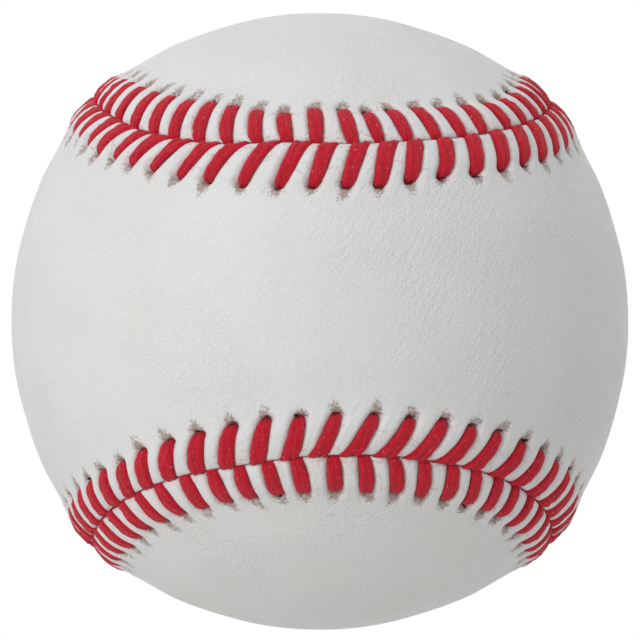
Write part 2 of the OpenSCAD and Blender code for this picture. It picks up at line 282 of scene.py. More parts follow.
class BaseballThread(bpy.types.PropertyGroup):
    """Sizes and colours of the sewing thread."""

    front_reach: length("Front reach", "Distance of the front needle holes from the seam", 5.0 * MM)
    rear_reach: length("Rear reach", "Distance of the rear needle holes from the seam", 4.3 * MM)
    strand: length("Strand diameter", "Diameter of one of the two strands of a stitch", 1.24 * MM)
    spacing: length("Strand spacing", "Distance between the two strands of a stitch", 0.52 * MM)
    flatness: number("Flatness", "Height over width of a strand", 0.72, min=0.3, max=1.0, subtype="FACTOR")
    roughness: length("Roughness", "How far the fibres push a strand's surface in and out", 0.42 * MM)
    front_lead: length("Front lead", "How far a front stitch leans along the seam", 1.95 * MM)
    rear_lead: length("Rear lead", "How far a rear stitch leans along the seam", 0.5 * MM)
    tail: length("Tail", "How far a stitch runs on along the groove as it goes under", 0.8 * MM)
    sides: number("Sides", "Sides of a strand's section", 10, min=3, max=16)
    seed: number("Seed", "Seed of the small differences between stitches", 7)
    red: colour("Thread", "Colour of the waxed thread", "#E91431")
    # The shade is painted shade between the plies and fibres, and the pale fibres are painted highlights.
    shade: colour("Thread shade", "Colour between the plies of the thread", "#A20C20")
    pale: colour("Pale fibre", "Colour of worn fibres of the thread", "#E8627A")


class BaseballCore(bpy.types.PropertyGroup):
    """Colours of the pieces below the cover."""

    cork: colour("Cork", "Colour of the cork granules", "#B98A5B")
    cork_binder: colour("Cork binder", "Colour of the rubber between the granules", "#5A3820")
    black_rubber: colour("Black rubber", "Colour of the half shells", "#262627")
    red_rubber: colour("Red rubber", "Colour of the rubber layer and the washers", "#A8392F")
    grey_wool: colour("Grey wool", "Colour of the first and third windings", "#8C8984")
    white_wool: colour("White wool", "Colour of the second winding", "#E7E2D6")
    cotton: colour("Cotton yarn", "Colour of the finishing winding", "#EDEAE2")


def add_node(tree, kind, inputs=(), **settings):
    """Adds one node with its settings, and fills or links its inputs, given by name or in order.

    The kind of a shader node is given without its prefix, and may end in its main setting. Only the
    sockets in use count for the order, and a node given for an input is linked by its first one.
    """
    kind, _, main = kind.partition(" ")
    made = tree.nodes.new(kind if "Node" in kind else "ShaderNode" + kind)
    if main:
        setattr(made, MAIN_SETTING[kind], main)
    for name, value in settings.items():
        setattr(made, name, value)
    in_use = [socket for socket in made.inputs if socket.enabled]
    for key, value in inputs.items() if isinstance(inputs, dict) else enumerate(inputs):
        socket = in_use[key] if isinstance(key, int) else made.inputs[key]
        if isinstance(value, bpy.types.Node):
            value = next(output for output in value.outputs if output.enabled)
        if isinstance(value, bpy.types.NodeSocket):
            tree.links.new(value, socket)
        else:
            socket.default_value = value
    return made


def new_material(name):
    """A material without nodes, and add_node for its tree."""
    material = bpy.data.materials.new(name)
    material.use_nodes = True
    material.node_tree.nodes.clear()
    return material, functools.partial(add_node, material.node_tree)


def finished(material, **inputs):
    """Ends a material with a Principled shader that has these inputs, and returns it."""
    add = functools.partial(add_node, material.node_tree)
    shader = add("BsdfPrincipled", {key.replace("_", " "): value for key, value in inputs.items()})
    add("OutputMaterial", {"Surface": shader})
    return material


def tanned_hide(look):
    """Alum-tanned full-grain cowhide, buffed and lightly waxed: a matt white with a fine pebbled grain.

    The eye sees soft broad highlights, pale creases between the pebbles, slightly warmer patches, and
    grey-brown soil round the needle holes. Along the seam the grey-brown is painted shade of the groove, the
    edges of the pebbles get a little painted shade, and the needle holes are painted near-black as their
    shade.
    """
    material, add = new_material("tanned_full_grain_cowhide")
    place = add("TexCoord").outputs["Object"]
    # Noise by its width in mm: warm patches, spots, the finest texture, slack places and broken soil.
    patches, spots, fine, places, broken = (
        add("TexNoise", {"Vector": place, "Scale": 1 / (width * MM), "Detail": detail, "Roughness": rough})
        for width, detail, rough in ((9, 3, 0.55), (1.6, 4, 0.6), (0.22, 3, 0.6), (15, 1, 0.5), (0.3, 4, 0.7))
    )
    warmth = add("MapRange", {"Value": patches, "From Min": 0.35, "From Max": 0.7})
    hide = add("Mix RGBA", (warmth, look.white, look.ivory))
    # The pebbled grain: cells one grain width across, drawn coarser than real ones so that they show.
    warp = add("TexNoise", {"Vector": place, "Scale": 0.7 / look.grain, "Detail": 2.0})
    bent = add("VectorMath MULTIPLY_ADD", (warp.outputs["Color"], (look.grain,) * 3, place))
    cells = add("TexVoronoi DISTANCE_TO_EDGE", {"Vector": bent, "Scale": 1 / look.grain})
    pebble = add("MapRange SMOOTHSTEP", {"Value": cells, "From Max": 0.28})
    relief = add("Math MULTIPLY_ADD", (fine, 0.8, pebble))
    # Where the hide is slack, it lies in short slanting creases. Elsewhere it is drawn smooth.
    slack = add("MapRange SMOOTHSTEP", {"Value": places, "From Min": 0.4, "From Max": 0.6, "To Min": 0.4})
    slant, size = (0.0, math.radians(35), 0.0), (0.5 * MM, 0.5 * MM, 2.2 * MM)
    slanting = add("Mapping", {"Vector": place, "Rotation": slant, "Scale": size}, vector_type="TEXTURE")
    creases = add("TexNoise", {"Vector": slanting, "Scale": 1.0, "Detail": 3.0})
    pebbled = add("Math MULTIPLY_ADD", (creases, 4.5, relief))
    slackened = add("Math MULTIPLY", (pebbled, slack))
    broad = add("Math MULTIPLY_ADD", (spots, 1.4, slackened))
    # The edges of the pebbles are painted up to about 5 % darker: painted shade in the creases.
    crease_shade = add("MapRange", {"Value": relief, "From Min": 0.3, "From Max": 1.1, "To Min": 0.945})
    toned = add("VectorMath SCALE", (hide, crease_shade))
    # Dye, soil and pinholes come from masks on the panel's points, broken up by noise. The soil mask also
    # carries painted shade along the groove, and the pinhole mask paints the holes near-black as their shade.
    soil_and_groove_shade_mask, dye_mask, pin_mask = (add("Attribute", attribute_name=name).outputs["Fac"] for name in MASKS)
    breakup = add("MapRange", {"Value": broken, "From Min": 0.35, "From Max": 0.62, "To Min": 0.25})
    dyed_by = add("Math MULTIPLY", (dye_mask, breakup))
    torn = add("Math MULTIPLY_ADD", (broken, 1.8, soil_and_groove_shade_mask))
    soiled_and_shaded = add("MapRange SMOOTHSTEP", {"Value": torn, "From Min": 1.16, "From Max": 1.62, "To Max": 0.82})
    tint = add("MapRange", {"Value": fine, "From Min": 0.35, "From Max": 0.65, "To Min": 0.55, "To Max": 1.1})
    soil = add("VectorMath SCALE", (tuple(look.soil)[:3], tint))
    flake_mask = add("Math MULTIPLY", (spots, soil_and_groove_shade_mask))
    flaked_by = add("MapRange", {"Value": flake_mask, "From Min": 0.36, "From Max": 0.42, "To Max": 0.7})
    # The pinholes are painted near-black: painted shade inside the holes.
    ragged = add("Math MULTIPLY_ADD", (broken, 0.25, pin_mask))
    hole_shaded_by = add("MapRange", {"Value": ragged, "From Min": 0.78, "From Max": 0.88})
    colour, hole_shade = toned, linear("#241315")
    for share, over in ((dyed_by, look.dye), (soiled_and_shaded, soil), (flaked_by, look.white), (hole_shaded_by, hole_shade)):
        colour = add("Mix RGBA", (share, colour, over))
    # Torn leather stands up in small flakes.
    flakes = add("Math MULTIPLY", (soiled_and_shaded, broken))
    rugged = add("Math MULTIPLY_ADD", (flakes, 5.0, broad))
    bump = add("Bump", {"Height": rugged, "Distance": look.grain_depth})
    rough = add("MapRange", {"Value": spots, "From Min": 0.3, "From Max": 0.7, "To Min": 0.5, "To Max": 0.62})
    return finished(
        material, Base_Color=colour, Roughness=rough, Normal=bump, IOR=1.45, Specular_IOR_Level=0.35,
        Sheen_Weight=0.08, Sheen_Roughness=0.5,
    )


def waxed_thread(look):
    """Red cotton thread of several twisted plies, drawn through wax: soft sheen, plies and fibres.

    The pattern follows the strand by two values on its points: how far along it a point is, and where
    round its section.
    """
    material, add = new_material("waxed_cotton_thread")
    along = add("Attribute", attribute_name="along").outputs["Fac"]
    around = add("Attribute", attribute_name="around").outputs["Vector"]
    # The four plies turn once in 18 mm.
    turn = add("Math MULTIPLY", (along, 2 * math.pi / (18 * MM)))
    turned = add("VectorRotate", {"Vector": around, "Angle": turn}, rotation_type="Z_AXIS")
    across, outward, _ = add("SeparateXYZ", (turned,)).outputs
    angle = add("Math ARCTAN2", (outward, across))
    ply_phase = add("Math MULTIPLY", (angle, 4.0))
    ply_wave = add("Math SINE", (ply_phase,))
    ply = add("MapRange SMOOTHSTEP", {"Value": ply_wave, "From Min": -1, "From Max": 0.6, "To Max": 0.12})
    # Fibres drawn 0.12 mm wide, coarser than real ones, so that they show, and 2.5 times as long as wide.
    stretched = add("Math MULTIPLY", (along, 1 / (0.65 * MM) / 2.5))
    lay = add("CombineXYZ", (across, outward, stretched))
    fibres = add("TexNoise", {"Vector": lay, "Scale": 5.2, "Detail": 5.0, "Roughness": 0.85})
    body = add("Math MULTIPLY_ADD", (fibres, 1.6, ply))
    bump = add("Bump", {"Height": body, "Distance": 0.12 * MM})
    # The thread is painted darker between the plies and the fibres: painted shade.
    light = add("MapRange", {"Value": body, "From Min": 0.56, "From Max": 0.96})
    shaded_red = add("Mix RGBA", (light, look.shade, look.red))
    # The raised fibres are painted paler, as painted highlights. Pale specks 0.15 mm across are partly wax
    # flakes and partly painted glints.
    pale = add("MapRange", {"Value": fibres, "From Min": 0.54, "From Max": 0.7, "To Max": 0.6})
    highlit = add("Mix RGBA", (pale, shaded_red, look.pale))
    place = add("TexCoord").outputs["Object"]
    wax_and_glint_spots = add("TexNoise", {"Vector": place, "Scale": 1 / (0.3 * MM), "Detail": 1.0})
    wax_and_glint_share = add("MapRange", {"Value": wax_and_glint_spots, "From Min": 0.705, "From Max": 0.78, "To Max": 0.6})
    wax = linear("#F2C9CE")
    waxed = add("Mix RGBA", (wax_and_glint_share, highlit, wax))
    rough = add("MapRange", {"Value": fibres, "From Min": 0.3, "From Max": 0.7, "To Min": 0.5, "To Max": 0.7})
    return finished(
        material, Base_Color=waxed, Roughness=rough, Normal=bump, IOR=1.45, Specular_IOR_Level=0.3,
        Sheen_Weight=0.1, Sheen_Roughness=0.4,
    )


def loose_fibre(name, first, second):
    """Loose fibres, fine and matt, of a tone between two colours that changes every 1.5 mm."""
    material, add = new_material(name)
    place = add("TexCoord").outputs["Object"]
    shades = add("TexNoise", {"Vector": place, "Scale": 1 / (1.5 * MM), "Detail": 1.0})
    mixed = add("Mix RGBA", (shades, linear(first), linear(second)))
    return finished(material, Base_Color=mixed, Roughness=0.8, IOR=1.45)


def ground_cork(look):
    """Ground cork bound with rubber: granules about 1.5 mm wide in a dark binder, dull and a little open."""
    material, add = new_material("ground_cork_in_rubber")
    granule = {"Vector": add("TexCoord").outputs["Object"], "Scale": 1 / (1.5 * MM)}
    granules = add("TexVoronoi", granule)
    joints = add("TexVoronoi DISTANCE_TO_EDGE", granule)
    shade = add("MapRange", {"Value": granules.outputs["Color"], "To Min": 0.6, "To Max": 1.2})
    tone = add("HueSaturation", {"Color": look.cork, "Value": shade})
    edge = add("MapRange", {"Value": joints, "From Min": 0.02, "From Max": 0.1})
    mixed = add("Mix RGBA", (edge, look.cork_binder, tone))
    bump = add("Bump", {"Height": edge, "Distance": 0.08 * MM})
    return finished(material, Base_Color=mixed, Normal=bump, Roughness=0.85, IOR=1.45)


def moulded_rubber(name, base):
    """Vulcanised rubber from a blasted mould: dull, with a fine even texture and a faint bloom."""
    material, add = new_material(name)
    place = add("TexCoord").outputs["Object"]
    blasted, bloom = (
        add("TexNoise", {"Vector": place, "Scale": 1 / (width * MM), "Detail": 3.0}) for width in (0.3, 5)
    )
    tone = add("MapRange", {"Value": bloom, "From Min": 0.3, "From Max": 0.7, "To Min": 0.85, "To Max": 1.25})
    toned = add("VectorMath SCALE", (tuple(base)[:3], tone))
    bump = add("Bump", {"Height": blasted, "Distance": 0.04 * MM})
    return finished(material, Base_Color=toned, Normal=bump, Roughness=0.7, IOR=1.52)


def wound_yarn(name, base, width, fuzz):
    """Yarn wound under tension in every direction: bands of parallel strands that cross.

    Each patch of about 9 mm takes its own direction, and the strands in it are one yarn width apart.
    """
    material, add = new_material(name)
    place = add("TexCoord").outputs["Object"]
    patch = add("TexVoronoi", {"Vector": place, "Scale": 1 / (9 * MM)})
    centred = add("VectorMath SUBTRACT", (patch.outputs["Color"], (0.5, 0.5, 0.5)))
    across = add("VectorMath NORMALIZE", (centred,))
    distance = add("VectorMath DOT_PRODUCT", (place, across))
    phase = add("Math MULTIPLY", (distance, 2 * math.pi / width))
    wave = add("Math SINE", (phase,))
    strands = add("MapRange SMOOTHSTEP", {"Value": wave, "From Min": -1.0})
    fibres = add("TexNoise", {"Vector": place, "Scale": 1 / (0.25 * width), "Detail": 4.0})
    rise = add("Math MULTIPLY_ADD", (fibres, 0.6, strands))
    # The yarn is painted darker between the strands and on low fibres: painted shade.
    tone = add("MapRange", {"Value": rise, "From Min": 0.2, "From Max": 1.3, "To Min": 0.55, "To Max": 1.05})
    toned = add("VectorMath SCALE", (tuple(base)[:3], tone))
    bump = add("Bump", {"Height": rise, "Distance": 0.3 * width})
    return finished(
        material, Base_Color=toned, Normal=bump, Roughness=0.9, IOR=1.5, Sheen_Weight=fuzz,
        Sheen_Roughness=0.5,
    )


def smooth_line(x, knots):
    """A smooth curve through (x, y) knots, level beyond both ends."""
    xs, ys = np.array(knots, float).T
    slopes = np.gradient(ys, xs)
    slopes[0] = slopes[-1] = 0
    x = np.clip(x, xs[0], xs[-1])
    i = np.clip(np.searchsorted(xs, x, side="right") - 1, 0, len(xs) - 2)
    step = xs[i + 1] - xs[i]
    t = (x - xs[i]) / step
    return (
        (2 * t**3 - 3 * t**2 + 1) * ys[i]
        + (t**3 - 2 * t**2 + t) * step * slopes[i]
        + (3 * t**2 - 2 * t**3) * ys[i + 1]
        + (t**3 - t**2) * step * slopes[i + 1]
    )


def bell(x, width, power=2):
    """A bump of height 1 at x = 0 that has fallen to 0.37 at its width."""
    return np.exp(-((x / width) ** power))


def uneven(points, size, seed):
    """A smooth random height of about -1 to 1 at each point, in waves about size long."""
    waves, usual_peak = 14, 1.4
    rng = np.random.default_rng(seed)
    total = np.zeros(points.shape[:-1])
    for _ in range(waves):
        direction = rng.normal(size=3)
        direction *= 2 * math.pi / (size * rng.uniform(0.7, 1.5)) / np.linalg.norm(direction)
        total += np.sin(points @ direction + rng.uniform(0, 2 * math.pi))
    return total / waves**0.5 / usual_peak


class SeamLine:
    """The closed line of the seam on the ball, by arc length from the top crossing."""

    def __init__(self, seam, radius):
        self.radius = radius
        # Two turns of the swing take the line once round, in steps of a twentieth of a degree.
        turns = np.linspace(0, 720, 14401)

        def wave(size, function, times):
            return size * function(np.radians(times * turns))

        fall = np.radians(90 - wave(seam.swing, np.cos, 1) + wave(seam.swing_ripple, np.cos, 3))
        way = np.radians(turns / 2 + wave(seam.sway, np.sin, 2) + wave(seam.sway_ripple, np.sin, 4))
        self.line = np.stack([np.sin(fall) * np.sin(way), -np.cos(fall), np.sin(fall) * np.cos(way)], -1)
        steps = np.linalg.norm(np.diff(self.line, axis=0), axis=1) * radius
        self.arc = np.concatenate([[0], np.cumsum(steps)])
        self.length = self.arc[-1]
        self.pitch = self.length / seam.stitches
        self.count = seam.stitches

    def share(self, u):
        """The share of the way round at the arc length u."""
        return np.mod(u, self.length) / self.length

    def apart(self, a, b):
        """The way from b to a along the seam, the shorter way round."""
        return np.mod(a - b + self.length / 2, self.length) - self.length / 2

    def at(self, u):
        """Points of the seam on the unit ball and the directions along it."""
        u, step = np.mod(u, self.length), 0.05 * MM
        behind, point, ahead = (
            np.stack([np.interp(np.mod(place, self.length), self.arc, self.line[:, i]) for i in range(3)], -1)
            for place in (u - step, u, u + step)
        )
        along = ahead - behind
        point /= np.linalg.norm(point, axis=-1, keepdims=True)
        along -= point * np.sum(along * point, -1, keepdims=True)
        return point, along / np.linalg.norm(along, axis=-1, keepdims=True)

    def place(self, side, u, v):
        """Directions to the points v away from the seam on that side, as the groove wanders."""
        point, along = self.at(u)
        fade = np.clip(1 - np.asarray(v) / WANDER_BAND, 0, 1)
        drift = side * MM * smooth_line(self.share(u), GROOVE_DRIFT) * fade
        angle = ((v + drift) / self.radius)[..., None]
        return point * np.cos(angle) + side * np.cross(along, point) * np.sin(angle)

    def stretch(self, side, u, v):
        """How much longer a step along the seam is at the distance v from it."""
        step = 0.3 * MM
        ends = self.place(side, u + step, v) - self.place(side, u - step, v)
        return np.linalg.norm(ends, axis=-1) * self.radius / (2 * step)


class Sewing:
    """Where each stitch of one panel lies, and the height of the leather round it."""

    def __init__(self, side, seam, leather, thread):
        self.side, self.seam, self.leather, self.thread = side, seam, leather, thread
        self.front = side > 0
        self.usual_reach = thread.front_reach if self.front else thread.rear_reach
        rng = np.random.default_rng(thread.seed + (not self.front))
        count = seam.count
        order = np.arange(count) / count
        base = (np.arange(count) + smooth_line(order, HOLE_DRIFT[side])) * seam.pitch
        lead = (thread.front_lead if self.front else thread.rear_lead) * smooth_line(order, LEAN_SHARE[side])
        self.hole = base + rng.normal(0, 0.08 * MM, count)
        self.end = base + lead + rng.normal(0, 0.08 * MM, count)
        self.drift = smooth_line(order, REACH_DRIFT[side])
        self.reach = self.usual_reach + self.drift * MM + rng.normal(0, 0.1 * MM, count)
        self.width = smooth_line(order, WIDTH_SHARE[side]) + rng.normal(0, 0.035, count)
        tail_share = smooth_line(order, TAIL_SHARE) if self.front else 0.4
        self.tail = thread.tail * rng.uniform(0.8, 1.2, count) * tail_share
        self.lean = rng.normal(0, 1, count)
        self.pin = rng.normal(0, 0.22 * MM, count)
        self.pierced = rng.uniform(*((0.78, 1.05) if self.front else (0.55, 0.98)), count)
        self.bow = rng.normal(0, 0.1 * MM, count) + smooth_line(order, BOW[side]) * MM
        self.fullness = rng.uniform(0.88, 1.1, count)
        self.dirt = rng.uniform(0.2, 1.0, count)
        self.raise_ = rng.normal(0, 0.035 * MM, (count, 2))

    def leg_u(self, v, share=0.5):
        """Arc lengths of all stitches' middle lines at the distance v, with a share of their tails."""
        hole, end, reach, bow, tail = (
            part[:, None] for part in (self.hole, self.end, self.reach, self.bow, self.tail)
        )
        t = np.clip((reach - v) / reach, 0, 1)
        hook = smooth_line(v / MM, TAIL_HOOK)
        wedge = smooth_line(v / MM, TAIL_WEDGE)
        return hole + (end - hole) * t + bow * 4 * t * (1 - t) + tail * (share * (hook + wedge))

    def profile_v(self, v, drift=0.0):
        """The distance from the seam in millimetres as the profiles below count it, with the holes at 5."""
        long = self.usual_reach / MM + drift
        v = np.asarray(v) / MM
        return np.where(v < long, v * 5 / long, v + (5 - long) * np.clip(1 - (v - long) / 5, 0, 1))

    def crest(self, v, drift=0.0):
        """Height of the leather midway between two stitches."""
        puff, swell = self.leather.puff / MM, self.leather.swell / MM
        knots = [
            (0, 0.6), (0.12, 0.82), (0.35, 1), (0.8, 1.15), (1.4, 1.27), (2.5, puff), (3.6, 1.28),
            (4.6, 1.08), (5.4, 0.86), (6.4, 0.66), (8, swell), (10.5, 0.84 * swell),
            (13.5, 0.45 * swell), (17, 0.08 * swell), (20, 0), (60, 0),
        ]
        return smooth_line(self.profile_v(v, drift), knots) * MM

    def valley(self, v, drift=0.0):
        """Height of the leather below a stitch."""
        place = self.profile_v(v, drift)
        fade = smooth_line(place, [(5.1, 0), (5.8, 0.4), (7, 0.8), (9.5, 1), (60, 1)])
        return smooth_line(place, VALLEY) * MM * (1 - fade) + self.crest(v, drift) * fade

    def surface(self, u, v):
        """Heights of the leather at arc lengths u and distances v, and its soil, dye and pinhole masks.

        The soil mask also holds painted shade along the groove, and the pinhole mask painted shade in the
        holes.
        """
        v = np.broadcast_to(v, u.shape)
        away = self.seam.apart(u, self.leg_u(v))
        stretch = self.seam.stretch(self.side, u, v)
        # The nearest stitch behind and ahead of each point.
        behind = np.where(away >= 0, away, np.inf)
        ahead = np.where(away < 0, -away, np.inf)
        back, fore = behind.argmin(0), ahead.argmin(0)
        gap_back, gap_fore = behind.min(0), ahead.min(0)
        near = np.where(gap_back < gap_fore, back, fore)
        step = 0.04 * MM
        columns = np.arange(len(u))
        slope = (self.leg_u(v + step) - self.leg_u(v - step))[near, columns] / (2 * step)
        upright = 1 / np.sqrt(1 + (slope * stretch) ** 2)
        distance = np.minimum(gap_back, gap_fore) * stretch * upright
        half = (gap_back + gap_fore) / 2 * stretch * upright
        fade = np.clip((WANDER_BAND - v) / (3 * MM), 0, 1)
        drift = smooth_line(self.seam.share(u), REACH_DRIFT[self.side]) * fade
        place = self.profile_v(v, drift)
        # The leather is pressed flat as wide as the thread, and puffs up steeply beside it.
        half_thread = 0.5 * (self.thread.strand + self.thread.spacing)
        flat = half_thread * self.width[near] * smooth_line(place, BED_SHARE)
        t = np.clip((distance - flat) / np.maximum(half - flat, 0.2 * MM), 0, 1)
        round_ = (1 - (1 - t) ** 2.8) * smooth_line(t, [(0, 0), (0.15, 0.75), (0.35, 1), (1, 1)])
        low, high = self.valley(v, drift), self.crest(v, drift)
        fuller = smooth_line(place, [(0, 0.6), (2.6, 0.55), (6, 0.3), (9, 0)])
        height = low + (high * (1 + (self.fullness[back] - 1) * fuller) - low) * round_
        # The thread pulls each needle hole to a short slit, with a dip round it.
        hole_away = self.seam.apart(u, self.hole[:, None])
        near = np.abs(hole_away).argmin(0)
        across = hole_away[near, columns] * stretch
        out = v - self.reach[near]
        from_slit = np.hypot(across / SLIT_LONG, out + SLIT_INWARDS)
        height = height - SLIT[0] * bell(from_slit, SLIT[1], 4) - DIP[0] * bell(from_slit, DIP[1])
        # Torn, soiled leather reaches outwards from each hole in the shape of a small flame.
        flame = across - self.lean[near] * 0.25 * np.clip(out, 0, None)
        tall = np.where(out > 0, (SOIL_OUTWARDS + SOIL_MORE * self.dirt[near]) * MM, SOIL_INWARDS)
        soil = np.clip(1 - np.hypot(flame / SOIL_HALF, out / tall), 0, 1)
        # Along the seam's edge the soil mask also carries painted shade of the groove.
        soil = np.maximum(soil, GROOVE_SHADE * bell(v, GROOVE_WIDE))
        # The pinhole mask marks where the hole is painted dark as the shade inside it.
        from_pin = np.hypot(across - self.pin[near], PIN_FLAT * (out - PIN_OUTWARDS))
        pinhole = self.pierced[near] * np.clip(1 - from_pin / PIN_RADIUS, 0, 1)
        # The dye ends just beyond the hole.
        within = 1 / (1 + np.exp((out - 0.1 * MM) / DYE_EDGE))
        dye = DYE * bell(np.maximum(distance - DYE_FROM, 0), DYE_EDGE) * within
        return height, soil, dye, pinhole

    def strand_lines(self, k):
        """The middle lines of the two strands of stitch k, each (points, fullness), from hole to seam."""
        reach = self.reach[k]
        lines = []
        for i, aside in enumerate((-0.5, 0.5)):
            # The forward strand of a front stitch runs on along the groove.
            runs_on = self.front and aside > 0
            # Out of the hole and over the leather, by heights above the valley.
            v = np.concatenate([reach + np.array(HOLE_V) * MM, reach * np.array(LEG_V_SHARE)])
            h = self.valley(v, self.drift[k]) + np.array(LEG_RISE) * MM + self.raise_[k, i]
            # Into the seam, by heights above the smooth ball.
            end_v, end_h, end_full = SEAM_END["runs_on" if runs_on else "front" if self.front else "rear"]
            v = np.concatenate([v, np.array(end_v) * MM])
            h = np.concatenate([h, np.array(end_h) * MM])
            full = np.array(LEG_FULLNESS[self.side] + end_full)
            spread = np.array(LEG_SPREAD[self.side])
            slope = (self.end[k] - self.hole[k]) / reach
            step = aside * self.thread.spacing * self.width[k] * spread * math.sqrt(1 + slope**2)
            step = step / self.seam.stretch(self.side, np.full(v.shape, self.hole[k]), v)
            u = self.leg_u(v, 1.0 if runs_on else 0.15)[k] + step
            points = self.seam.place(self.side, u, v) * (self.seam.radius + h)[:, None]
            lines.append((points, full * self.width[k]))
        return lines


class Skin:
    """Gathers rings of points and the faces between them for one closed mesh."""

    def __init__(self):
        self.points, self.faces, self.masks = [], [], []
        self.total = 0

    def ring(self, points, *masks):
        """Adds a row of points, with or without values of the masks, and returns their numbers."""
        count = len(points)
        self.points.append(points)
        self.masks.append(np.stack(masks, -1) if masks else np.zeros((count, len(MASKS))))
        self.total += count
        return np.arange(self.total - count, self.total)

    def add(self, cells, flip):
        """Adds faces, turned over or as they are."""
        self.faces += [tuple(reversed(cell)) if flip else cell for cell in cells]

    def join(self, fine, coarse, flip):
        """Faces between two closed rings, of which the first has a whole number of times as many points."""
        ratio, count = len(fine) // len(coarse), len(coarse)
        middle = ratio // 2
        for j in range(count):
            a, b = coarse[j], coarse[(j + 1) % count]
            own = [fine[(ratio * j + i) % len(fine)] for i in range(ratio + 1)]
            if ratio == 1:
                cells = [(own[0], own[1], b, a)]
            else:
                cells = [(own[i], own[i + 1], a) for i in range(middle)]
                cells += [(own[middle], b, a)]
                cells += [(own[i], own[i + 1], b) for i in range(middle, ratio)]
            self.add(cells, flip)

    def rows(self, first, second, flip):
        """Faces between two open rows of equal length."""
        pairs = zip(first, first[1:], second[1:], second)
        self.add(pairs, flip)

    def fan(self, tip, row, flip):
        """Faces between a point and an open row."""
        for a, b in zip(row, row[1:]):
            self.faces.append((tip, b, a) if flip else (tip, a, b))

    def mesh(self, name):
        """The finished mesh, with its masks as point attributes."""
        mesh = bpy.data.meshes.new(name)
        points, masks = np.concatenate(self.points), np.concatenate(self.masks)
        mesh.from_pydata(points.tolist(), [], [tuple(int(i) for i in face) for face in self.faces])
        for i, mask in enumerate(MASKS):
            values = np.clip(masks[:, i], 0, 1).astype(np.float32)
            mesh.attributes.new(mask, "FLOAT", "POINT").data.foreach_set("value", values)
        mesh.validate()
        return mesh


def nearest_seam(seam, directions):
    """Distance over the ball from each direction to the seam."""
    # Every eighth point of the line is near enough, and sixteen parts in turn save memory.
    line = seam.line[:-1:8]
    best = np.concatenate([(part @ line.T).max(1) for part in np.array_split(directions, 16)])
    return np.arccos(np.clip(best, -1, 1)) * seam.radius


def cover_panel(name, side, seam, sewing, leather):
    """One cover panel: a fine band along the seam, the field inside it, the underside and the cut edge."""
    skin = Skin()
    radius = seam.radius
    fine = seam.count * COLUMNS
    outside, inside = side < 0, side > 0

    def swelling(directions):
        return leather.unevenness * uneven(directions * radius, YARN_WAVE, YARN_SEED)

    def outer_ring(count, v):
        u = np.arange(count) * seam.length / count
        height, *masks = sewing.surface(u, v)
        directions = seam.place(side, u, v)
        height = height + swelling(directions)
        return skin.ring(directions * (radius + height)[:, None], *masks), height

    def inner_ring(count, v, height):
        u = np.arange(count) * seam.length / count
        return skin.ring(seam.place(side, u, v) * np.reshape(radius + height, (-1, 1)))

    def outer_height(directions):
        return sewing.crest(nearest_seam(seam, directions)) + swelling(directions)

    def inner_height(directions):
        return np.full(len(directions), -leather.thickness)

    def field(border, height_of, across, flip):
        """Great-circle ribs from one side of the panel to the other, closed at both tips."""
        count = len(border)
        start = count // 4 if side > 0 else 0
        points = np.concatenate(skin.points)[border]
        points /= np.linalg.norm(points, axis=1, keepdims=True)
        t = np.linspace(0, 1, across + 1)[1:-1, None]
        last = None
        for m in range(1, count // 2):
            a, b = (start + m) % count, (start - m) % count
            angle = math.acos(float(np.clip(points[a] @ points[b], -1, 1)))
            arc = (np.sin((1 - t) * angle) * points[a] + np.sin(t * angle) * points[b]) / math.sin(angle)
            middle = skin.ring(arc * (radius + height_of(arc))[:, None])
            row = np.concatenate([[border[a]], middle, [border[b]]])
            if last is None:
                skin.fan(border[start], row, flip)
            else:
                skin.rows(row, last, flip)
            last = row
        skin.fan(border[(start + count // 2) % count], last, not flip)

    rings = [outer_ring(fine, v) for v in [leather.gap / 2, *np.array(PANEL_ROWS) * MM]]
    for (lower, _), (upper, _) in zip(rings, rings[1:]):
        skin.join(lower, upper, outside)
    half, _ = outer_ring(fine // 2, HALF_ROW)
    skin.join(rings[-1][0], half, outside)
    quarter, _ = outer_ring(fine // 4, QUARTER_ROW)
    skin.join(half, quarter, outside)
    field(quarter, outer_height, OUTER_SPACES, outside)
    # The underside lies over the thread below the panel, and the cut edge closes the panel.
    edge, edge_height = rings[0]
    last = edge
    for count, v, height in (
        (fine, leather.gap / 2, edge_height * 0.35 + 0.65 * UNDERSIDE),
        (fine, 0.16 * MM, UNDERSIDE),
        (fine // 4, 1.2 * MM, UNDERSIDE),
        (fine // 4, 5.8 * MM, UNDERSIDE),
        (fine // 4, 7.2 * MM, -leather.thickness),
    ):
        ring = inner_ring(count, v, height)
        skin.join(last, ring, inside)
        last = ring
    field(last, inner_height, INNER_SPACES, inside)
    mesh = skin.mesh(name)
    points = np.array([v.co for v in mesh.vertices])
    mesh.calc_loop_triangles()
    corners = np.array([t.vertices for t in mesh.loop_triangles])
    a, b, c = points[corners.T]
    # Six times the mesh's volume, which is negative when the faces point inwards.
    if np.einsum("ij,ij->i", a, np.cross(b, c)).sum() < 0:
        mesh.flip_normals()
    mesh.shade_smooth()
    return mesh


